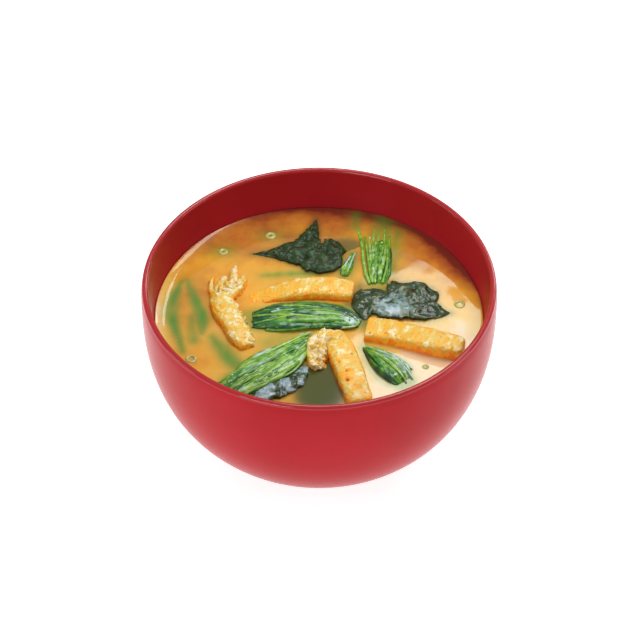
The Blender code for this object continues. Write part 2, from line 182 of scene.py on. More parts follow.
form = bmesh.new()
points = [form.verts.new((radius * MM, 0, height * MM)) for radius, height in bowl_section()]
edges = [form.edges.new(pair) for pair in zip(points, points[1:])]
bmesh.ops.spin(
    form,
    geom=points + edges,
    cent=(0, 0, 0),
    axis=(0, 0, 1),
    angle=2 * math.pi,
    steps=BOWL_SEGMENTS,
    use_merge=True,
)
bmesh.ops.remove_doubles(form, verts=form.verts[:], dist=0.00001)
bmesh.ops.recalc_face_normals(form, faces=form.faces[:])

for face in form.faces:
    face.material_index = int(face.calc_center_median().z > (HEIGHT - LIP_THICKNESS / 2) * MM)


def lacquered(name, settings):
    """Red urethane lacquer, a little deeper in places."""
    material, tree, shader = finish(name, settings)
    reds = [(0.3, (0.33, 0.011, 0.015)), (0.7, (0.37, 0.013, 0.019))]
    tree.links.new(shades(tree, mottle(tree, 30.0, 2.0), reds), shader.inputs["Base Color"])
    relief(tree, shader, mottle(tree, 2.5, 2.0), 0.012)
    return material


lacquer = lacquered("red_lacquer", {"Roughness": 0.26, "Specular IOR Level": 0.06})
polished = lacquered("polished_lip", {"Roughness": 0.26, "Specular IOR Level": 0.06, "Coat Weight": 0.65})
bowl = piece("lacquered_bowl", form, lacquer, "red_lacquer", "bowl")
bowl.data.materials.append(polished)

# The fried tofu: puffy strips cut from a deep-fried sheet. A golden skin with brown freckles covers the
# fried faces, and the torn ends are pale and spongy. The strips float, about half of each in the soup.

SOUP_DROP = 15.5
LEVEL = HEIGHT - SOUP_DROP
TOFU_SINK = 2.6

# Each strip is built up from bars and rows of crumbs. A row of a route is x, y, the top's height above
# the soup, and the half width to the left and to the right of the way. "torn" says how rough and pale
# a bar is, "bare" whether its left (1) or right (-1) side is torn open, and "power" how square it is.
TOFU_STRIPS = {
    "tofu_left": [
        {
            "torn": 0.3,
            "bare": -1,
            "power": 3.4,
            "route": [
                (-23.2, -15.8, 1.6, 2.8, 2.6),
                (-25.6, -11.0, 2.6, 3.8, 3.7),
                (-29.0, -3.8, 3.0, 4.0, 4.0),
                (-31.8, 3.4, 3.0, 4.2, 4.1),
                (-32.8, 10.2, 2.4, 3.6, 3.9),
            ],
        },
        {
            "torn": 0.9,
            "bare": 0,
            "power": 2.4,
            "route": [
                (-30.6, 8.0, 2.2, 2.2, 2.2),
                (-29.0, 13.6, 2.9, 1.8, 1.8),
                (-28.6, 19.4, 2.2, 1.3, 1.3),
                (-28.3, 24.0, 1.0, 0.6, 0.6),
            ],
        },
        {
            "torn": 0.9,
            "bare": 0,
            "power": 2.4,
            "route": [
                (-33.2, 8.0, 2.4, 2.4, 2.4),
                (-32.4, 13.2, 2.8, 2.0, 2.0),
                (-31.5, 17.8, 1.6, 1.2, 1.2),
            ],
        },
        {
            "torn": 0.9,
            "bare": 0,
            "power": 2.4,
            "route": [
                (-30.8, 7.4, 2.0, 1.8, 1.8),
                (-27.4, 11.0, 2.6, 1.8, 1.8),
                (-25.8, 15.2, 2.2, 1.6, 1.6),
                (-25.4, 18.6, 1.2, 0.9, 0.9),
            ],
        },
        {
            "torn": 0.6,
            "bare": 0,
            "power": 2.4,
            "route": [
                (-35.0, 8.6, 1.8, 1.5, 1.5),
                (-36.2, 13.4, 1.6, 1.1, 1.1),
                (-35.8, 18.0, 1.0, 0.8, 0.8),
            ],
        },
        {
            "crumbs": 5,
            "route": [
                (-33.0, 8.0, 3.1, 1.5, 1.5),
                (-29.8, 11.6, 3.5, 1.6, 1.6),
                (-27.2, 13.0, 3.0, 1.3, 1.3),
            ],
        },
        {
            "crumbs": 7,
            "route": [
                (-28.6, 4.0, 2.5, 1.2, 1.2),
                (-25.4, -4.0, 2.5, 1.1, 1.1),
                (-22.2, -13.6, 2.0, 1.3, 1.3),
            ],
        },
    ],
    "tofu_back": [
        {
            "torn": 0.0,
            "bare": 0,
            "power": 4.4,
            "route": [
                (-23.4, 8.0, 0.2, 2.0, 2.0),
                (-19.4, 9.0, 0.6, 3.2, 3.1),
                (-14.4, 9.8, 1.9, 3.4, 3.3),
                (-8.6, 11.0, 2.9, 4.1, 4.0),
                (-1.0, 12.0, 3.2, 4.5, 4.5),
                (6.0, 11.4, 3.2, 4.4, 4.4),
                (11.7, 10.4, 2.9, 4.0, 4.2),
            ],
        },
    ],
    "tofu_right": [
        {
            "torn": 0.0,
            "bare": 0,
            "power": 6.0,
            "route": [
                (15.2, -7.6, 2.9, 4.7, 4.7),
                (19.4, -8.5, 3.2, 4.7, 4.6),
                (24.6, -10.1, 3.6, 4.6, 4.4),
                (30.4, -12.3, 4.2, 4.5, 4.5),
                (36.0, -14.6, 4.8, 4.2, 4.4),
                (41.4, -16.4, 4.8, 4.2, 4.3),
                (47.0, -18.0, 4.4, 3.8, 3.8),
            ],
        },
    ],
    "tofu_front": [
        {
            "torn": 0.1,
            "bare": 0,
            "power": 4.0,
            "route": [
                (4.0, -10.6, 3.6, 3.4, 3.8),
                (6.7, -17.0, 4.4, 4.2, 4.6),
                (8.7, -23.6, 4.4, 4.4, 4.6),
                (10.8, -31.5, 4.0, 4.4, 4.6),
                (13.4, -42.2, 2.9, 4.2, 4.3),
            ],
        },
        {
            "torn": 0.9,
            "bare": 0,
            "power": 3.0,
            "route": [
                (3.8, -11.2, 3.5, 3.0, 3.6),
                (0.4, -14.8, 3.9, 3.8, 4.0),
                (-0.6, -19.6, 3.2, 3.4, 3.8),
                (-1.0, -25.0, 1.6, 2.4, 2.4),
            ],
        },
        {
            "torn": 0.5,
            "bare": 0,
            "power": 2.6,
            "route": [
                (-0.6, -14.0, 4.1, 2.6, 2.6),
                (3.2, -13.2, 4.7, 3.4, 3.4),
                (7.0, -15.0, 4.5, 2.8, 2.8),
            ],
        },
        {
            "crumbs": 7,
            "route": [
                (1.4, -12.6, 4.3, 1.5, 1.5),
                (-1.6, -17.4, 4.0, 1.6, 1.6),
                (-1.2, -24.4, 2.6, 1.6, 1.4),
            ],
        },
        {
            "crumbs": 5,
            "route": [
                (2.6, -15.6, 4.4, 1.3, 1.3),
                (0.8, -20.0, 3.7, 1.5, 1.5),
                (0.6, -24.0, 2.2, 1.2, 1.2),
            ],
        },
    ],
}
TOFU_PITS = [
    (8.6, -29.6, 0.5),
    (8.8, -33.7, 0.8),
    (11.6, -36.6, 1.0),
    (6.2, -26.0, 0.4),
    (10.6, -22.4, 0.45),
]
BLISTER_SIZE = 3.6
WRINKLE_SIZE = 1.2
BUBBLE_SIZE = 1.0
GOLD_PATCH_SIZE = 2.6
BROWNEST_SKIN = 0.88


def smooth(rows, share):
    """A smooth curve through rows of numbers, at a share of its way from 0 to 1."""
    spans = len(rows) - 1
    spot = min(max(share, 0.0), 1.0) * spans
    start = min(int(spot), spans - 1)
    t = spot - start
    before, here = rows[max(start - 1, 0)], rows[start]
    there, after = rows[start + 1], rows[min(start + 2, spans)]
    result = []
    for a, b, c, d in zip(before, here, there, after):
        bend = 2 * a - 5 * b + 4 * c - d
        twist = 3 * b - a - 3 * c + d
        result.append(b + 0.5 * t * (c - a + t * (bend + t * twist)))
    return result


def side_of(rows, share):
    """The direction across a route on the table, to its left."""
    share = min(max(share, 0.0), 1.0)
    x0, y0 = smooth(rows, max(share - 0.01, 0.0))[:2]
    x1, y1 = smooth(rows, min(share + 0.01, 1.0))[:2]
    length = math.hypot(x1 - x0, y1 - y0)
    return -(y1 - y0) / length, (x1 - x0) / length


BALLS = {}


def place_ball(form, sides, rings=0):
    """A copy of a ball in the mesh, made once for each fineness. Without rings it is an icosphere."""
    if (sides, rings) not in BALLS:
        shape = bmesh.new()
        if rings:
            bmesh.ops.create_uvsphere(shape, u_segments=sides, v_segments=rings, radius=1)
        else:
            bmesh.ops.create_icosphere(shape, subdivisions=sides, radius=1)
        BALLS[sides, rings] = bpy.data.meshes.new("ball")
        shape.to_mesh(BALLS[sides, rings])
        shape.free()
    known = len(form.verts)
    form.from_mesh(BALLS[sides, rings])
    form.verts.ensure_lookup_table()
    return form.verts[known:]


def rod(form, route, rings, sides, power, floor_of, swell, blunt=9):
    """A closed bar along a route, laid from a ball. floor_of gives its underside, and swell its relief.

    The higher its power is, the squarer its section is, and blunt is the same for its ends.
    """
    skin = form.verts.layers.float["skin"]
    for vert in place_ball(form, sides, rings):
        along = 0.5 + math.asin(max(-1.0, min(1.0, vert.co.z))) / math.pi
        angle = math.atan2(vert.co.y, vert.co.x)
        taper = (1 - abs(2 * along - 1) ** blunt) ** (1 / 3)
        row = smooth(route, along)
        side = side_of(route, along)
        wide, high = math.cos(angle), math.sin(angle)
        wide = math.copysign(abs(wide) ** (2 / power), wide) * taper
        high = math.copysign(abs(high) ** (2 / power), high) * taper
        low = floor_of(row)
        offset = wide * (row[3] if wide > 0 else row[4])
        z = (row[2] + low + high * (row[2] - low)) / 2
        grow, colour = swell(row[0] + side[0] * offset, row[1] + side[1] * offset, z, wide, high)
        offset += grow * wide
        z += grow * high
        vert[skin] = colour
        vert.co = Vector((row[0] + side[0] * offset, row[1] + side[1] * offset, LEVEL + z)) * MM


def fried_skin(torn, bare):
    """Blisters, wrinkles and pits of a fried skin, and how golden it is. Torn skin is rough and pale."""

    def swell(x, y, z, wide, high):
        spot = Vector((x, y, z))
        ragged = min(1.0, torn + 0.5 * max(0.0, bare * wide))
        blister = (0.2 + 0.35 * ragged) * noise.noise(spot / (BLISTER_SIZE * (1 - 0.5 * ragged)))
        crease = 0.5 - 2 * abs(noise.noise(spot / WRINKLE_SIZE + Vector((5, 1, 2))))
        wrinkle = (0.06 + 0.24 * ragged) * crease
        bubble = 0.1 * noise.noise(spot / BUBBLE_SIZE + Vector((2, 7, 3)))
        pit = max(0.0, noise.noise(spot / BUBBLE_SIZE + Vector((9, 4, 6))) - 0.42)
        top = min(max((high - 0.45) / 0.4, 0.0), 1.0)
        hole = top * max(math.exp(-((math.dist((x, y), at[:2]) / at[2]) ** 2)) for at in TOFU_PITS)
        # Browner towards the soup line.
        near_soup = math.exp(-max(z, 0.0) / 1.2)
        golden = 0.60 - 0.30 * top + 0.5 * near_soup + 1.3 * pit - 1.2 * bubble - 0.3 * ragged
        golden += 0.46 * noise.noise(spot / GOLD_PATCH_SIZE)
        golden += 0.34 * noise.noise(spot / BUBBLE_SIZE + Vector((4, 4, 1)))
        golden = min(golden, BROWNEST_SKIN) + 0.8 * hole
        return blister + wrinkle + bubble - 1.2 * pit - 0.8 * hole, golden

    return swell


def crumbled(form, route, count):
    """Torn crumbs heaped along a route, pale where the spongy inside shows."""
    skin = form.verts.layers.float["skin"]
    for k in range(count):
        row = smooth(route, k / (count - 1))
        lean = Vector((noise.noise((k, row[0], 1)), noise.noise((k, row[1], 2)), 0)) * 0.8
        seed = Vector((k, row[0], row[1]))
        for vert in place_ball(form, 4):
            swell = 1 + 0.9 * noise.noise(vert.co * 1.2 + seed) + 0.25 * noise.noise(vert.co * 2.8 + seed)
            vert[skin] = 0.02 + 0.5 * noise.noise(vert.co * 1.2 - seed) + 0.22 * (1 - vert.co.z)
            half = (row[2] + 0.8) / 2
            size = Vector((row[3], row[4], half))
            middle = Vector((row[0], row[1], LEVEL + row[2] - half)) + lean
            vert.co = (middle + vert.co * size * swell) * MM


def painted(tree, name):
    """What was painted on the piece's points under a name."""
    paint = tree.nodes.new("ShaderNodeAttribute")
    paint.attribute_name = name
    return paint.outputs["Fac"]


fried, tree, shader = finish(
    "fried_tofu",
    {
        "Roughness": 0.45,
        "Specular IOR Level": 0.35,
        "Coat Weight": 0.25,
        "Coat Roughness": 0.15,
        "Subsurface Weight": 0.35,
        "Subsurface Radius": (0.003, 0.0015, 0.0004),
    },
)
gold = shades(
    tree,
    painted(tree, "skin"),
    [
        (0.0, (0.80, 0.68, 0.40)),
        (0.2, (0.71, 0.50, 0.10)),
        (0.42, (0.72, 0.41, 0.028)),
        (0.70, (0.98, 0.40, 0.016)),
        (0.90, (0.84, 0.22, 0.008)),
        (1.0, (0.34, 0.07, 0.006)),
    ],
)
freckle = shades(tree, mottle(tree, 0.8, 2.0, 0.5), [(0.62, (0, 0, 0)), (0.70, (1, 1, 1))])
toasted = blend_colours(tree, freckle, gold, (0.62, 0.22, 0.02))
tree.links.new(toasted, shader.inputs["Base Color"])
relief(tree, shader, mottle(tree, 0.6, 3.0, 0.5), 0.1)

for node, arms in TOFU_STRIPS.items():
    form = bmesh.new()
    form.verts.layers.float.new("skin")
    for arm in arms:
        route = arm["route"]
        if "crumbs" in arm:
            crumbled(form, route, arm["crumbs"])
        else:
            rings = 30 + int(4.5 * math.dist(route[0][:2], route[-1][:2]))
            sides = 80 if route[1][3] > 2.5 else 40
            skin = fried_skin(arm["torn"], arm["bare"])
            rod(form, route, rings, sides, arm["power"], lambda row: -TOFU_SINK, skin, 24)
    bmesh.ops.recalc_face_normals(form, faces=form.faces[:])
    piece(f"{node}_strip", form, fried, "fried_tofu", node)

# The greens: boiled leaves with their stalks, folded along their length by the chopsticks.
# Dark blades are pleated between pale ribs, wet and glossy, with their edges under the soup.

# A route is as for the tofu. "strands" and "run" say how many folds lie across and along a bunch, "rise"
# and "crinkle" how high its crown and its wrinkles are, "tone" how light its green is, and "pale" how much
# lighter its left side is, a painted highlight. "ribs" and "beads" count its loose blades and its drops of
# froth, which are partly painted glints. "calm" is a smooth patch's centre and radius, painted lighter as a
# highlight, and "painted_highlight_patch" the route of a pale, wet patch painted as a highlight. A stalk is
# its radius, its tone, and its points: x, y and the height of its axis above the soup.
GREENS = {
    "greens_centre": {
        "route": [
            (-22.0, -2.4, 0.3, 4.8, 4.6),
            (-17.6, -2.2, 0.9, 5.8, 5.6),
            (-10.6, -1.7, 1.3, 6.0, 5.8),
            (-1.8, -1.0, 1.5, 6.1, 5.9),
            (6.4, -1.8, 1.2, 5.0, 4.8),
            (10.6, -3.3, 1.0, 4.0, 3.4),
            (13.4, -4.4, 0.5, 2.4, 2.2),
        ],
        "strands": 2.6,
        "run": 2.2,
        "seed": 1.7,
        "rise": 0.9,
        "crinkle": 0.08,
        "tone": 0.11,
        "ribs": 34,
        "beads": 6,
        "painted_highlight_patch": [
            (6.6, -3.0, 1.6, 0.8, 0.8),
            (8.8, -3.4, 2.0, 2.2, 2.0),
            (11.4, -3.8, 1.6, 2.4, 2.2),
            (13.4, -4.4, 0.6, 1.0, 1.0),
        ],
        "calm": (10.4, -3.6, 3.0),
        "pale": 0.0,
        "stalks": [
            (
                0.5,
                0.66,
                [
                    (-22.0, -1.4, 0.9),
                    (-15.0, -2.2, 2.2),
                    (-6.0, -2.8, 2.5),
                    (2.0, -4.0, 2.2),
                    (8.4, -5.6, 1.2),
                ],
            ),
            (0.4, 0.6, [(-21.6, -4.6, 0.7), (-16.0, -4.2, 1.9), (-10.0, -2.9, 2.4), (-3.0, -2.7, 2.5)]),
            (
                0.35,
                0.7,
                [
                    (-17.0, 2.6, 1.5),
                    (-9.0, 2.2, 2.2),
                    (-2.0, 1.4, 2.5),
                    (6.0, -0.8, 2.0),
                    (10.6, -3.0, 1.2),
                ],
            ),
            (0.4, 0.86, [(4.6, -6.4, 0.7), (8.6, -6.9, 1.0), (12.0, -6.0, 1.0), (13.2, -3.6, 0.7)]),
            (0.35, 0.9, [(-6.0, -1.0, 2.2), (0.0, -1.6, 2.4), (5.0, -2.8, 2.2), (9.0, -3.4, 1.8)]),
            (0.3, 0.95, [(-16.0, -0.4, 2.0), (-10.0, 0.2, 2.3), (-4.0, 0.4, 2.4), (3.0, 0.0, 2.1)]),
        ],
    },
    "greens_front": {
        "route": [
            (-31.6, -37.6, 0.3, 4.0, 4.0),
            (-26.0, -33.0, 0.9, 6.5, 6.0),
            (-18.5, -27.5, 1.5, 7.4, 7.2),
            (-12.5, -22.5, 1.7, 6.8, 7.4),
            (-8.0, -18.0, 1.5, 5.0, 5.2),
            (-5.0, -14.0, 1.0, 3.4, 3.0),
            (-2.8, -10.4, 0.4, 1.5, 1.4),
        ],
        "strands": 1.8,
        "run": 2.6,
        "seed": 4.2,
        "rise": 0.9,
        "crinkle": 0.22,
        "tone": 0.44,
        "ribs": 40,
        "beads": 34,
        "painted_highlight_patch": [(-7.4, -12.4, 1.2, 0.6, 0.6), (-5.4, -10.8, 1.6, 1.0, 1.0), (-3.4, -9.6, 0.8, 0.6, 0.6)],
        "calm": (-7.6, -14.6, 1.6),
        "pale": 0.04,
        "stalks": [
            (
                0.6,
                0.74,
                [(-27.4, -27.6, 0.9), (-16.4, -19.6, 2.0), (-9.6, -14.8, 2.0), (-2.8, -9.4, 1.3)],
            ),
            (
                0.45,
                0.72,
                [(-22.0, -22.2, 0.5), (-15.0, -17.4, 1.2), (-8.6, -12.9, 1.2), (-3.4, -9.2, 0.8)],
            ),
            (
                0.4,
                0.66,
                [(-26.0, -29.6, 1.2), (-17.0, -22.6, 2.4), (-10.6, -17.0, 2.4), (-4.4, -11.8, 1.4)],
            ),
        ],
    },
    "greens_right": {
        "route": [
            (14.6, -15.6, 0.3, 1.4, 0.9),
            (18.0, -19.6, 0.9, 3.8, 3.4),
            (21.6, -24.2, 1.1, 5.6, 5.0),
            (25.0, -28.4, 0.8, 5.4, 4.8),
            (27.2, -31.0, 0.1, 3.6, 3.6),
        ],
        "strands": 1.8,
        "run": 1.8,
        "seed": 7.9,
        "rise": 0.7,
        "crinkle": 0.08,
        "tone": 0.56,
        "ribs": 18,
        "beads": 3,
        "painted_highlight_patch": [(22.6, -22.0, 1.2, 0.6, 0.6), (25.8, -25.6, 1.5, 1.1, 1.4), (28.4, -29.4, 0.7, 0.7, 0.9)],
        "calm": (26.6, -25.4, 2.6),
        "pale": 0.42,
        # The palest stalks here, of tone 0.9 and more, are painted highlight streaks.
        "stalks": [
            (
                0.4,
                0.6,
                [(15.4, -17.4, 0.9), (19.6, -21.2, 1.7), (24.0, -26.0, 1.8), (27.6, -30.6, 0.8)],
            ),
            (
                0.32,
                1.0,
                [(18.6, -17.4, 1.0), (23.8, -21.2, 1.8), (28.0, -26.4, 1.3), (30.2, -30.0, 0.3)],
            ),
            (
                0.3,
                0.9,
                [(17.6, -18.6, 1.4), (22.4, -23.2, 1.9), (26.2, -28.4, 1.4), (28.2, -31.8, 0.2)],
            ),
            (0.34, 1.05, [(21.0, -17.8, 0.5), (26.2, -21.4, 0.8), (30.2, -25.6, 0.3)]),
        ],
    },
    "greens_back": {
        "route": [
            (21.9, 38.0, -0.4, 2.2, 2.4),
            (21.2, 30.0, 0.3, 3.2, 3.4),
            (20.4, 22.0, 0.6, 3.7, 3.6),
            (19.6, 15.6, 0.3, 3.3, 3.4),
        ],
        "strands": 2.0,
        "run": 1.4,
        "seed": 2.4,
        "rise": 0.9,
        "crinkle": 0.05,
        "tone": 0.38,
        "ribs": 22,
        "beads": 2,
        "calm": (60.0, 0.0, 1.0),
        "pale": 0.0,
        "stalks": [
            (0.5, 0.6, [(15.4, 43.4, -0.9), (16.0, 35.0, 0.0), (16.6, 26.0, 0.5), (17.6, 15.2, 0.5)]),
            (0.4, 0.74, [(17.2, 44.0, -0.8), (17.3, 34.0, 0.1), (17.4, 25.0, 0.7), (18.0, 15.0, 0.7)]),
            (
                0.6,
                0.66,
                [
                    (12.8, 44.4, -0.6),
                    (14.4, 36.6, 0.2),
                    (14.9, 27.5, 0.7),
                    (15.5, 20.5, 0.7),
                    (17.0, 14.8, 0.4),
                ],
            ),
            (0.5, 0.6, [(24.2, 41.6, -0.6), (23.6, 31.0, 0.4), (22.6, 22.0, 0.9), (21.2, 15.0, 0.5)]),
            (0.5, 0.7, [(20.6, 41.0, -0.6), (19.4, 30.0, 0.5), (18.6, 22.0, 1.1), (18.8, 15.0, 0.5)]),
            (0.4, 0.72, [(19.0, 44.0, -0.5), (18.4, 35.0, 0.3), (17.8, 27.0, 0.8), (17.8, 16.0, 0.8)]),
            (0.4, 0.7, [(22.6, 44.6, -0.5), (22.2, 36.0, 0.4), (21.4, 27.0, 1.2), (20.4, 16.0, 1.0)]),
        ],
    },
    "greens_small": {
        "route": [
            (11.6, 30.4, 0.3, 0.7, 0.7),
            (10.3, 25.6, 0.9, 1.8, 1.7),
            (9.0, 21.6, 0.9, 2.3, 2.3),
            (8.5, 19.0, 0.4, 1.5, 1.5),
        ],
        "strands": 1.6,
        "run": 1.4,
        "seed": 9.1,
        "rise": 0.8,
        "crinkle": 0.08,
        "tone": 0.66,
        "ribs": 0,
        "beads": 2,
        "calm": (9.4, 23.0, 1.0),
        "pale": 0.0,
        "stalks": [
            (0.36, 1.05, [(7.6, 19.6, 0.7), (8.8, 23.2, 1.5), (10.8, 28.6, 0.7)]),
            (0.3, 0.95, [(9.4, 19.4, 0.8), (10.6, 24.0, 1.4), (12.2, 30.4, 0.3)]),
            (0.3, 0.5, [(8.6, 18.8, 0.8), (9.8, 23.4, 1.5), (11.4, 29.4, 0.6)]),
        ],
    },
}


def sheet(form, cells_along, cells_across, lay):
    """A thin closed sheet laid from a flat grid. lay(along, across, face) gives a place and a tone."""
    grid = bmesh.ops.create_grid(form, x_segments=cells_along, y_segments=cells_across, size=1)
    faces = {face for vert in grid["verts"] for face in vert.link_faces}
    lifted = bmesh.ops.extrude_face_region(form, geom=list(faces), use_keep_orig=True)
    upper = [item for item in lifted["geom"] if isinstance(item, bmesh.types.BMVert)]
    bmesh.ops.translate(form, verts=upper, vec=(0, 0, 1))
    skin = form.verts.layers.float["skin"]
    for vert in grid["verts"] + upper:
        x, y, z, tone = lay((vert.co.x + 1) / 2, vert.co.y, vert.co.z)
        vert[skin] = tone
        vert.co = Vector((x, y, z)) * MM


def bundle(facts):
    """How a folded bunch is laid: pale ribs run its length, with dark folds of the blade between them."""
    route, seed = facts["route"], facts["seed"]

    def lay(along, across, face):
        row = smooth(route, along)
        side = side_of(route, along)
        offset = 0.8 * across * (row[3] if across > 0 else row[4])
        x, y = row[0] + side[0] * offset, row[1] + side[1] * offset
        ends = min(1.0, 6 * along, 6 * (1 - along))
        crown = max(0.0, 1 - across**4)
        apart = math.dist((x, y), facts["calm"][:2]) / facts["calm"][2]
        calm = 0.9 * math.exp(-(apart**4))
        strand = noise.noise(Vector((facts["run"] * along, facts["strands"] * across, seed)))
        fine = noise.noise(Vector((2.4 * facts["run"] * along, 3.2 * facts["strands"] * across, seed + 5)))
        rib = max(0.0, 1 - 5.0 * abs(strand))
        crinkle = noise.noise(Vector((x, y, seed)) / 2.1)
        folds = 1.1 * strand + 0.3 * rib + 0.25 * fine + 2 * facts["crinkle"] * crinkle
        top = row[2] + ends * (facts["rise"] * crown + folds * min(1.0, 3 * crown) * (1 - calm)) - 0.05
        top = max(top, -0.6)
        below = 0.7 + 1.5 * crown * ends
        # Painted highlight: the smooth patch, and the bunch's pale side, are made lighter.
        tone = facts["tone"] + 0.15 * rib + 0.35 * strand + 0.4 * fine + 0.4 * calm
        tone += facts["pale"] * across + 0.4 * crinkle
        return x, y, LEVEL + (top if face else max(top - below, -1.4)), tone

    return lay


leaf, tree, shader = finish(
    "boiled_greens",
    {
        "Roughness": 0.3,
        "Specular IOR Level": 0.22,
        "Coat Weight": 0.5,
        "Coat Roughness": 0.06,
        "Subsurface Weight": 0.1,
        "Subsurface Radius": (0.0006, 0.0012, 0.0003),
    },
)
# The bluish pale top of this scale is the colour of painted highlights.
green = shades(
    tree,
    painted(tree, "skin"),
    [
        (0.0, (0.006, 0.050, 0.024)),
        (0.22, (0.012, 0.10, 0.030)),
        (0.45, (0.050, 0.24, 0.024)),
        (0.68, (0.18, 0.39, 0.025)),
        (0.88, (0.32, 0.54, 0.08)),
        (1.0, (0.44, 0.62, 0.54)),
    ],
)
dapple = shades(tree, mottle(tree, 2.2, 3.0, 0.6), [(0.35, (0.6, 0.66, 0.64)), (0.65, (1, 1, 1))])
tree.links.new(blend_colours(tree, 0.8, green, dapple, "MULTIPLY"), shader.inputs["Base Color"])
relief(tree, shader, mottle(tree, 0.6, 3.0, 0.5), 0.08)


def ribbed(tone, blister):
    """The slight ribs and blisters of a stalk or blade, and its green."""

    def swell(x, y, z, wide, high):
        rib = 0.06 * noise.noise(Vector((x / 3, y / 3, 6 * wide)))
        lump = noise.noise(Vector((x, y, z)) / 1.3)
        return rib + blister * lump, tone + 0.12 * high + 1.5 * rib + 0.25 * lump

    return swell


def lay_blade(form, lay, chance, tone, pale, scale):
    """One narrow leaf or thin stalk along the top of a bunch, where chance puts it."""
    half = scale * chance.choice((0.28, 0.36, 0.9, 1.4, 1.9))
    across, drift = chance.uniform(-1.12, 1.12), chance.uniform(-0.5, 0.5)
    start, end = chance.uniform(0.0, 0.3), chance.uniform(0.68, 0.99)
    route = []
    for share in (0.0, 0.2, 0.4, 0.6, 0.8, 1.0):
        sideways = across + drift * (share - 0.5) + chance.uniform(-0.06, 0.06)
        x, y, z, _ = lay(start + (end - start) * share, max(-1.12, min(1.12, sideways)), 1)
        width = half * (0.35 if share in (0.0, 1.0) else chance.uniform(0.75, 1.2))
        lift = 0.3 if half < 0.5 else 0.24
        route.append((x, y, z - LEVEL + (lift if 0.1 < share < 0.9 else -0.3), width, width))
    for tip, inner in ((0, 1), (5, 4)):
        x, y, z, width, _ = route[tip]
        further = chance.uniform(0.0, 0.35)
        x += further * (x - route[inner][0])
        y += further * (y - route[inner][1])
        route[tip] = (x, y, z, width, width)
    # Blades on the pale side are painted lighter as highlights.
    skin = ribbed(tone + 0.5 * pale * across, 0.06 if half < 0.5 else 0.26)
    rod(form, route, 44, 16, 2.2, lambda row: row[2] - 0.5 - 0.6 * row[3], skin)


def lay_bead(form, lay, chance):
    """One pale drop of froth caught on a bunch. Its pale tone is partly its own and partly a painted glint.
    """
    x, y, z, _ = lay(chance.uniform(0.1, 0.9), chance.uniform(-0.9, 0.9), 1)
    size = chance.uniform(0.22, 0.55)
    long, turn = chance.uniform(1.0, 1.8), chance.uniform(0.4, 1.0)
    tone = chance.uniform(0.8, 1.1)
    skin = form.verts.layers.float["skin"]
    for vert in place_ball(form, 3):
        dx, dy = size * long * vert.co.x, size * vert.co.y
        vert[skin] = tone
        across = (dx * math.cos(turn) - dy * math.sin(turn), dx * math.sin(turn) + dy * math.cos(turn))
        vert.co = Vector((x + across[0], y + across[1], z + 0.2 + 0.5 * size * vert.co.z)) * MM


for node, facts in GREENS.items():
    form = bmesh.new()
    form.verts.layers.float.new("skin")
    lay = bundle(facts)
    sheet(form, 150, 90, lay)
    chance = random.Random(facts["seed"])
    for k in range(facts["ribs"]):
        tone = facts["tone"] + chance.choice((-0.16, -0.08, 0.04, 0.16, 0.36))
        lay_blade(form, lay, chance, tone, 1.4 * facts["pale"], min(1.0, facts["route"][1][3] / 6))
    for radius, tone, points in facts["stalks"]:
        route = [(x, y, lift + radius, radius, radius) for x, y, lift in points]
        rod(form, route, 70, 14, 2.2, lambda row: row[2] - 2 * row[3], ribbed(tone, 0.04))
    for k in range(facts["beads"]):
        lay_bead(form, lay, chance)
    # A pale patch painted as a wet highlight.
    if "painted_highlight_patch" in facts:
        rod(form, facts["painted_highlight_patch"], 50, 30, 2.2, lambda row: row[2] - 1.4, ribbed(0.94, 0.3))
    bmesh.ops.recalc_face_normals(form, faces=form.faces[:])
    piece(f"{node}_bunch", form, leaf, "greens", node)

# The wakame: thin sea vegetable, nearly black-green, crumpled and slippery with soup.
# It lies on the surface like wet cloth, and its thin frayed edges dip under.

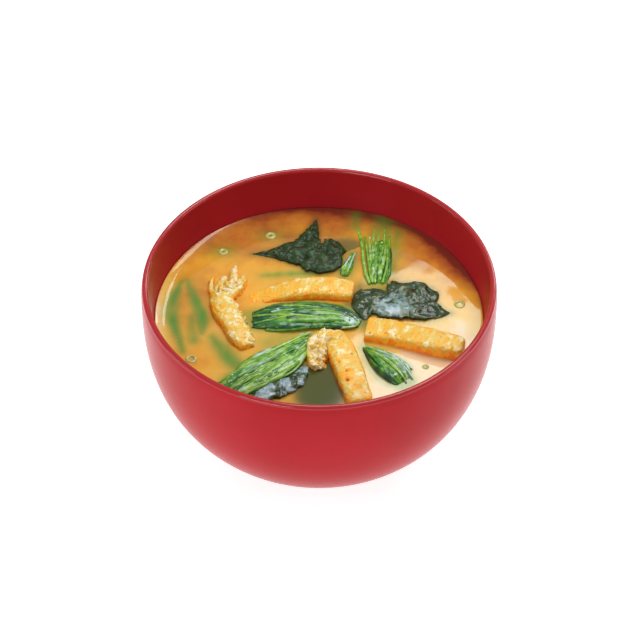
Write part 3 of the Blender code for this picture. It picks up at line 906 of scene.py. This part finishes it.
# A leaf's lobes are routes as for the tofu. "crumple" says how high its folds are, "calm" is a smooth
# patch's centre and radius, painted pale as a silver reflection, "tilt" its slope, and "painted_sheen" how
# much painted sheen its folds get.
WAKAME = {
    "wakame_back": {
        "lobes": [
            [
                (-22.6, 30.2, -0.4, 0.4, 0.4),
                (-16.5, 30.2, 0.1, 1.9, 1.9),
                (-10.5, 30.4, 0.5, 5.2, 5.0),
                (-5.0, 30.0, 0.7, 7.6, 6.6),
                (0.0, 28.8, 0.8, 6.8, 8.9),
                (4.4, 29.2, 0.8, 7.2, 7.4),
                (7.2, 30.4, 0.5, 7.2, 1.6),
                (9.2, 31.4, -0.1, 6.6, 0.3),
            ],
            [
                (-4.0, 34.0, 0.5, 4.6, 4.6),
                (-3.3, 38.2, 0.4, 3.5, 3.5),
                (-2.2, 42.0, 0.1, 2.2, 2.2),
                (-1.5, 45.2, -0.2, 1.1, 1.1),
                (-1.0, 48.0, -0.6, 0.2, 0.2),
            ],
        ],
        "crumple": 0.9,
        "calm": (60.0, 0.0, 1.0),
        "tilt": 0.0,
        "painted_sheen": 0.0,
        "seed": 3.1,
    },
    "wakame_right": {
        "lobes": [
            [
                (10.6, 5.0, -0.4, 1.6, 1.6),
                (13.6, 5.2, 0.1, 7.2, 6.4),
                (18.2, 5.4, 0.6, 6.4, 6.0),
                (22.4, 5.0, 0.8, 6.6, 6.8),
                (25.4, 5.4, 1.0, 9.8, 8.0),
                (29.6, 6.2, 1.0, 9.6, 7.9),
                (33.4, 5.2, 1.0, 8.4, 8.6),
                (36.6, 2.6, 0.7, 4.4, 6.4),
                (40.0, 1.2, 0.3, 2.6, 2.6),
                (43.2, 1.0, -0.2, 0.4, 0.4),
            ]
        ],
        "crumple": 1.0,
        "calm": (24.6, 2.4, 6.8),
        "tilt": -0.03,
        "painted_sheen": 0.35,
        "seed": 8.7,
    },
    "wakame_front": {
        "lobes": [
            [
                (-20.6, -39.6, 0.3, 2.6, 1.4),
                (-14.6, -36.8, 0.7, 4.4, 2.4),
                (-9.4, -33.2, 0.8, 4.4, 2.8),
                (-5.6, -29.2, 0.6, 3.4, 2.0),
                (-4.2, -24.8, 0.4, 1.4, 0.9),
            ]
        ],
        "crumple": 0.9,
        "calm": (-17.0, -38.0, 2.6),
        "tilt": 0.0,
        "painted_sheen": 1.8,
        "seed": 5.3,
    },
}
WAKAME_THICKNESS = 0.8
WAKAME_WAVE = 3.4


def crumpled(route, facts):
    """How one lobe is laid. Lobes that meet share the same waves."""
    seed, calm = facts["seed"], facts["calm"]

    def lay(along, across, face):
        row = smooth(route, along)
        side = side_of(route, along)
        edge = Vector((11 * along, 3 * math.copysign(1, across), seed))
        fray = 1 + abs(across) ** 3 * (0.2 * noise.noise(edge) + 0.12 * noise.noise(edge * 2.7) - 0.04)
        offset = across * fray * (row[3] if across > 0 else row[4])
        x, y = row[0] + side[0] * offset, row[1] + side[1] * offset
        spot = Vector((x / WAKAME_WAVE, y / WAKAME_WAVE, seed))
        ends = min(1.0, 8 * along, 8 * (1 - along))
        crown = 1 - 0.75 * abs(across) ** 2.5
        apart = math.dist((x, y), calm[:2]) / calm[2] * (1 + 0.7 * noise.noise(spot * 0.8))
        lively = 1 - 0.92 * math.exp(-(apart**4))
        fold = facts["crumple"] * noise.noise(spot) + 0.36 * noise.noise(spot * 2.1)
        crease = 0.2 * (1 - 2 * abs(noise.noise(spot * 2.7 + Vector((3, 5, 1)))))
        crease += 0.09 * noise.noise(spot * 5.0)
        slope = facts["tilt"] * (x - calm[0])
        height = row[2] + (0.5 + slope + (fold + crease) * lively) * crown * ends - 0.35 * across**4
        height = max(height, -0.9)
        # Painted sheen on the folds, and a painted silver reflection on the smooth patch.
        sheen = facts["painted_sheen"] * max(0.0, noise.noise(spot * 1.4 + Vector((7, 2, 4))) + 0.15)
        tone = 0.3 + 0.5 * fold * lively + 0.64 * (1 - lively) + 1.4 * sheen
        tone -= 2.2 * max(0.0, noise.noise(spot * 2.6 + Vector((1, 1, 1))) - 0.28)
        return x, y, LEVEL + height + (face - 0.5) * WAKAME_THICKNESS, tone

    return lay


def wet_weed(name, roughness, specular):
    """Dark wakame, from black-green in its folds to olive, with teal dapples. Its palest teal and
    silver-blue colours are painted reflection.
    """
    material, tree, shader = finish(name, {"Roughness": roughness, "Specular IOR Level": specular})
    # The two palest, silver-blue colours are painted reflection.
    dark = shades(
        tree,
        painted(tree, "skin"),
        [
            (0.0, (0.010, 0.014, 0.005)),
            (0.4, (0.024, 0.038, 0.010)),
            (0.7, (0.060, 0.085, 0.03)),
            (0.88, (0.15, 0.22, 0.24)),
            (1.0, (0.30, 0.40, 0.46)),
        ],
    )
    patches = shades(tree, mottle(tree, 1.6, 3.0, 0.6), [(0.45, (0, 0, 0)), (0.62, (0.6, 0.6, 0.6))])
    patched = blend_colours(tree, patches, dark, (0.022, 0.09, 0.036))
    tree.links.new(patched, shader.inputs["Base Color"])
    relief(tree, shader, mottle(tree, 0.9, 3.0, 0.5), 0.1)
    return material


seaweed = wet_weed("wakame", 0.2, 0.5)
dull_seaweed = wet_weed("wakame_dull", 0.3, 0.2)

for node, facts in WAKAME.items():
    form = bmesh.new()
    form.verts.layers.float.new("skin")
    main, *spikes = facts["lobes"]
    sheet(form, 150, 80, crumpled(main, facts))
    for spike in spikes:
        sheet(form, 60, 40, crumpled(spike, facts))
    bmesh.ops.recalc_face_normals(form, faces=form.faces[:])
    material = dull_seaweed if node == "wakame_back" else seaweed
    piece(f"{node}_leaf", form, material, "wakame", node)

# The soup: broth clouded by miso, poured round the garnish. It climbs a little at the left wall, and leaves
# that lie just below the surface show through it as soft green and dark shapes. Painted reflection,
# highlight and shade are laid into the broth's colour along with the miso's cloud.

SOUP_CELLS = 250
SOUP_CLIMB, CLIMB_REACH = 1.0, 1.7
RIPPLE_HEIGHT, RIPPLE_SIZE = 0.05, 9
GLOW_REACH = 3.0

# A sunken leaf is how strongly it shows, how soft its edge is, and its way: x, y and half width.
SUNK_LEAVES = [
    (0.74, 0.5, [(-46.0, 16.4, 0.6), (-48.2, 9.0, 1.7), (-48.6, -1.0, 2.2), (-44.4, -17.0, 0.8)]),
    (0.74, 0.5, [(-44.4, 16.8, 0.6), (-41.2, 7.0, 1.8), (-38.8, -1.5, 2.4), (-38.6, -8.6, 0.8)]),
    (0.6, 0.9, [(-42.0, -0.5, 0.8), (-41.3, -11.4, 1.8)]),
    (0.74, 0.8, [(-35.1, -10.4, 1.0), (-31.6, -16.1, 2.2), (-28.2, -21.6, 2.6), (-24.4, -25.6, 2.0)]),
    (0.7, 0.7, [(-19.0, 19.4, 0.6), (-10.5, 20.2, 1.2), (-1.7, 20.6, 0.8)]),
    (0.4, 2.0, [(-16.7, -13.0, 2.0), (-11.2, -10.0, 2.2), (-5.6, -8.0, 1.6)]),
    (0.55, 1.0, [(12.8, 50.5, 0.8), (12.4, 44.0, 1.0)]),
    (0.55, 1.3, [(22.5, 49.0, 2.0), (21.6, 40.0, 3.4)]),
    (0.6, 0.9, [(26.6, 41.0, 1.4), (25.6, 32.0, 1.2), (24.4, 20.0, 0.6)]),
    (0.35, 1.6, [(-34.6, 31.4, 1.8), (-31.0, 31.4, 1.8)]),
    (0.25, 1.6, [(-18.6, 39.6, 1.8), (-14.6, 39.6, 1.8)]),
]
SUNK_WEED = [
    (0.95, 0.9, [(2.4, -19.5, 1.0), (1.4, -24.0, 4.4), (-0.4, -30.0, 8.0), (0.0, -37.0, 8.4)]),
    (0.55, 2.0, [(-8.0, -41.5, 2.5), (2.0, -42.0, 3.5)]),
    (0.4, 2.5, [(-6.0, 37.0, 5.0), (6.0, 35.0, 5.0)]),
    (0.85, 1.2, [(13.5, 14.0, 1.4), (13.6, 8.0, 3.0), (14.8, 2.0, 3.0), (16.8, -3.0, 2.4)]),
]


def reach(places, route):
    """How far each place on the surface is from a piece's outline. It is negative inside."""
    corners = np.array([row[:2] for row in route])
    low, high = corners.min(axis=0) - 14, corners.max(axis=0) + 14
    near = np.flatnonzero(((places > low) & (places < high)).all(axis=1))
    shares = np.linspace(0, 1, 36)
    rows = np.array([smooth(route, share)[:2] + smooth(route, share)[-2:] for share in shares])
    sides = np.array([side_of(route, share) for share in shares])
    gaps = places[near, None, :] - rows[None, :, :2]
    away = np.hypot(gaps[..., 0], gaps[..., 1])
    nearest = away.argmin(axis=1)
    picked = np.arange(len(near))
    across = (gaps[picked, nearest] * sides[nearest]).sum(axis=1)
    half = np.where(across > 0, rows[nearest, 2], rows[nearest, 3])
    result = np.full(len(places), 99.0)
    result[near] = away[picked, nearest] - half
    return result


def shows(places, route, weight, soft, margin=0.0, glow=0.0):
    """How strongly a leaf colours each place: its weight inside, fading over its edge, and a faint glow."""
    away = reach(places, route) - margin
    halo = glow * np.exp(-np.clip(away, 0, 4 * GLOW_REACH) / GLOW_REACH)
    return weight / (1 + np.exp(away / soft)) + halo


def even(points):
    """A route as wide to the left as to the right."""
    return [(x, y, 0.0, half, half) for x, y, half in points]


def paleness_and_painted_light(x, y, from_wall):
    """How pale the broth is at a place, with painted light and shade laid into it.

    It is palest at the front right, where a reflection of the softbox is painted, and in a crescent at the
    left, which is a painted highlight on the meniscus. It deepens towards the back, and the wall shades it
    at the back right. Both of these darkenings are painted shade.
    """
    # Painted shade: darker towards the back, and in the wall's shade at the back right.
    far = math.hypot(x, y + 16) / 62
    back_right = min(max((x + y) / 66, 0.0), 1.0) ** 2
    shaded = back_right * (0.3 * math.exp(-from_wall / 1.3) + 0.34 * math.exp(-from_wall / 6))
    # Painted reflection of the softbox at the front right, and a painted highlight on the meniscus in the
    # crescent at the left.
    painted_reflection = 0.6 / (1 + math.exp((43 - x + y) / 6))
    crescent = 0.5 / (1 + math.exp((x + 49.6) / 1.2))
    return 0.17 - 0.32 * far**3 + painted_reflection + crescent - shaded


form = bmesh.new()
bmesh.ops.create_grid(form, x_segments=SOUP_CELLS, y_segments=SOUP_CELLS, size=1)
rim = [edge for edge in form.edges if edge.is_boundary]
wall = cavity_wall(LEVEL, 0.05, 8)
edge_radius = wall[-1][0]
for vert in form.verts:
    x, y = vert.co.x, vert.co.y
    spread = Vector((x * math.sqrt(1 - y * y / 2), y * math.sqrt(1 - x * x / 2), 0))
    vert.co = spread * edge_radius * MM + Vector((0, 0, LEVEL * MM))
for radius, height in wall[-2:0:-1]:
    lowered = bmesh.ops.extrude_edge_only(form, edges=rim)
    rim = [item for item in lowered["geom"] if isinstance(item, bmesh.types.BMEdge)]
    for vert in {vert for edge in rim for vert in edge.verts}:
        flat = vert.co.xy.normalized() * radius * MM
        vert.co = (flat.x, flat.y, height * MM)
bmesh.ops.edgeloop_fill(form, edges=rim)
bmesh.ops.recalc_face_normals(form, faces=form.faces[:])

layers = {name: form.verts.layers.float.new(name) for name in ("leafy", "weedy", "cloud_and_painted_light")}
form.verts.ensure_lookup_table()
surface = [vert for vert in form.verts if vert.co.z > (LEVEL - 0.01) * MM]
places = np.array([vert.co.xy for vert in surface]) / MM
leafy = [shows(places, even(points), weight, soft, glow=0.2) for weight, soft, points in SUNK_LEAVES]
leafy += [shows(places, facts["route"], 0.6, 0.7, margin=0.8) for facts in GREENS.values()]
leafy = np.max(leafy, axis=0)
weedy = [shows(places, even(points), weight, soft) for weight, soft, points in SUNK_WEED]
for facts in WAKAME.values():
    weedy += [shows(places, route, 0.8, 0.8, margin=0.6) for route in facts["lobes"]]
weedy = np.max(weedy, axis=0)
from_wall = edge_radius - np.hypot(places[:, 0], places[:, 1])
leftward = 0.15 + 0.85 * np.clip(-places[:, 0] / 40 - 0.1, 0, 1)
climb = SOUP_CLIMB * leftward * np.exp(-from_wall / CLIMB_REACH)
for k, vert in enumerate(surface):
    x, y = places[k]
    ripple = RIPPLE_HEIGHT * noise.noise(Vector((x, y, 0)) / RIPPLE_SIZE)
    vert.co.z += (climb[k] + ripple) * MM
    streak = 0.95 + 0.2 * noise.noise(Vector((x / 2.2, y / 6.0, 3)))
    vert[layers["leafy"]] = leafy[k] * streak
    vert[layers["weedy"]] = weedy[k]
    vert[layers["cloud_and_painted_light"]] = paleness_and_painted_light(x, y, from_wall[k])

broth, tree, shader = finish(
    "broth",
    {
        "Roughness": 0.04,
        "IOR": 1.45,
        "Subsurface Weight": 0.2,
        "Subsurface Radius": (0.004, 0.002, 0.0008),
    },
)
stirred_and_painted_light = tree.nodes.new("ShaderNodeMath")
stirred_and_painted_light.operation = "MULTIPLY_ADD"
tree.links.new(mottle(tree, 16.0, 5.0, 0.6), stirred_and_painted_light.inputs[0])
stirred_and_painted_light.inputs[1].default_value = 0.9
tree.links.new(painted(tree, "cloud_and_painted_light"), stirred_and_painted_light.inputs[2])
# The deep red-brown low end is painted shade near the far wall, and the cream high end is painted
# reflection of the softbox.
broth_colour_and_painted_light = shades(
    tree,
    stirred_and_painted_light.outputs[0],
    [
        (0.0, (0.22, 0.030, 0.018)),
        (0.18, (0.44, 0.12, 0.024)),
        (0.5, (0.72, 0.34, 0.036)),
        (0.8, (0.76, 0.46, 0.10)),
        (1.0, (0.80, 0.57, 0.35)),
    ],
)
greened = blend_colours(tree, painted(tree, "leafy"), broth_colour_and_painted_light, (0.085, 0.25, 0.035))
darkened = blend_colours(tree, painted(tree, "weedy"), greened, (0.045, 0.075, 0.02))
tree.links.new(darkened, shader.inputs["Base Color"])
piece("miso_broth", form, broth, "broth", "soup")

# The scallion: thin slices of a young onion leaf, floating flat, each a ring with a round wall.
# The soup's solid carries them. A row is x, y, the ring's outer radius, half the thickness of its wall,
# and the height of its middle above the soup.

SCALLIONS = [
    (-32.6, 31.4, 1.8, 0.72, -0.42),
    (-16.6, 39.6, 2.0, 0.86, -0.56),
    (46.6, 5.2, 1.9, 0.52, -0.16),
    (-41.6, -20.6, 1.9, 0.55, -0.22),
    (34.4, -24.2, 1.2, 0.5, -0.22),
]

onion, tree, shader = finish(
    "scallion",
    {
        "Roughness": 0.3,
        "Coat Weight": 0.6,
        "Subsurface Weight": 0.2,
        "Subsurface Radius": (0.001, 0.001, 0.0005),
    },
)
onion_green = shades(tree, mottle(tree, 1.2, 2.0), [(0.35, (0.28, 0.33, 0.08)), (0.7, (0.52, 0.50, 0.18))])
tree.links.new(onion_green, shader.inputs["Base Color"])

form = bmesh.new()
for x, y, radius, wall, rise in SCALLIONS:
    ring = bmesh.ops.create_circle(form, segments=16, radius=wall * MM)
    edges = list({edge for vert in ring["verts"] for edge in vert.link_edges})
    upright = Matrix.Rotation(math.pi / 2, 3, "X")
    bmesh.ops.rotate(form, verts=ring["verts"], cent=(0, 0, 0), matrix=upright)
    centre = ((x + radius - wall) * MM, y * MM, (LEVEL + rise) * MM)
    bmesh.ops.translate(form, verts=ring["verts"], vec=centre)
    bmesh.ops.spin(
        form,
        geom=ring["verts"] + edges,
        cent=(x * MM, y * MM, 0),
        axis=(0, 0, 1),
        angle=2 * math.pi,
        steps=48,
        use_merge=True,
    )
bmesh.ops.recalc_face_normals(form, faces=form.faces[:])
piece("scallion_slices", form, onion, "greens")

# The table and the light: a pale, glowing table, a broad softbox overhead, and a small one far behind
# that lies mirrored in the right half of the soup. A rim light stands at the back right, with low
# fills at the front left and on both sides.

form = bmesh.new()
bmesh.ops.create_circle(form, cap_ends=True, segments=96, radius=4.0)
mesh = bpy.data.meshes.new("table_top")
form.to_mesh(mesh)
form.free()
table = bpy.data.objects.new("table_top", mesh)
bpy.context.scene.collection.objects.link(table)
cloth, tree, shader = finish(
    "table_top",
    {
        "Base Color": (0.9, 0.9, 0.9, 1),
        "Roughness": 0.9,
        "Specular IOR Level": 0.1,
        "Emission Color": (1, 1, 1, 1),
        "Emission Strength": 0.65,
    },
)
mesh.materials.append(cloth)


def lamp(name, shape, size, power, colour, place, turn):
    """A soft area lamp. Its size and place are in metres, its power in watts and its turn in degrees."""
    data = bpy.data.lights.new(name, "AREA")
    data.shape = shape
    data.size, data.size_y = size
    data.energy = power
    data.color = colour
    obj = bpy.data.objects.new(name, data)
    bpy.context.scene.collection.objects.link(obj)
    obj.location = place
    obj.rotation_euler = [math.radians(angle) for angle in turn]


lamp("overhead", "RECTANGLE", (0.7, 0.65), 8.8, (1.0, 0.98, 0.95), (0.25, 0.42, 1.05), (0, 0, 0))
lamp("mirrored", "ELLIPSE", (0.15, 0.41), 0.95, (0.62, 0.95, 0.82), (0.102, 1.057, 1.185), (0, 0, 0))
lamp("rim_light", "RECTANGLE", (0.3, 0.3), 2.3, (1.0, 1.0, 1.0), (0.62, 0.9, 0.6), (60.6, 0, 145.4))
lamp("low_fill", "RECTANGLE", (0.6, 0.3), 4.4, (1.0, 1.0, 1.0), (-0.55, -0.95, 0.53), (66, 0, -30))
lamp("left_fill", "RECTANGLE", (0.4, 0.2), 1.4, (1.0, 0.98, 0.96), (-1.1, -0.1, 0.42), (70, 0, -85))
lamp("right_fill", "RECTANGLE", (0.4, 0.2), 1.2, (1.0, 0.98, 0.96), (1.1, -0.1, 0.42), (70, 0, 85))

world = bpy.data.worlds.new("studio")
world.use_nodes = True
world.node_tree.nodes["Background"].inputs["Color"].default_value = (1, 1, 1, 1)
world.node_tree.nodes["Background"].inputs["Strength"].default_value = 0.5
bpy.context.scene.world = world
bpy.context.scene.view_settings.view_transform = "Standard"

# The camera: fourteen rim radii away, looking down by 42.8 degrees on the middle of the rim, with its
# axis a little below it. A small step to the side matches the photo.

VIEW_DOWN = math.radians(42.78)
VIEW_DISTANCE = 14 * RIM_RADIUS
VIEW_SIDESTEP = 0.26
VIEW_DIP = math.radians(0.9005)
PICTURE_PIXELS = 640.0
FOCAL_PIXELS = 2487.6
SENSOR_WIDTH = 36.0
lens = bpy.data.cameras.new("camera")
lens.sensor_width = SENSOR_WIDTH
lens.lens = FOCAL_PIXELS * SENSOR_WIDTH / PICTURE_PIXELS
lens.clip_end = 20.0
camera = bpy.data.objects.new("camera", lens)
bpy.context.scene.collection.objects.link(camera)
camera.location = (
    VIEW_SIDESTEP * MM,
    -VIEW_DISTANCE * math.cos(VIEW_DOWN) * MM,
    (HEIGHT + VIEW_DISTANCE * math.sin(VIEW_DOWN)) * MM,
)
camera.rotation_euler = (math.pi / 2 - VIEW_DOWN - VIEW_DIP, 0, 0)
bpy.context.scene.camera = camera

# The balls from which bars, crumbs and drops were laid are not part of the scene.

for ball in BALLS.values():
    bpy.data.meshes.remove(ball)
bpy.context.view_layer.update()
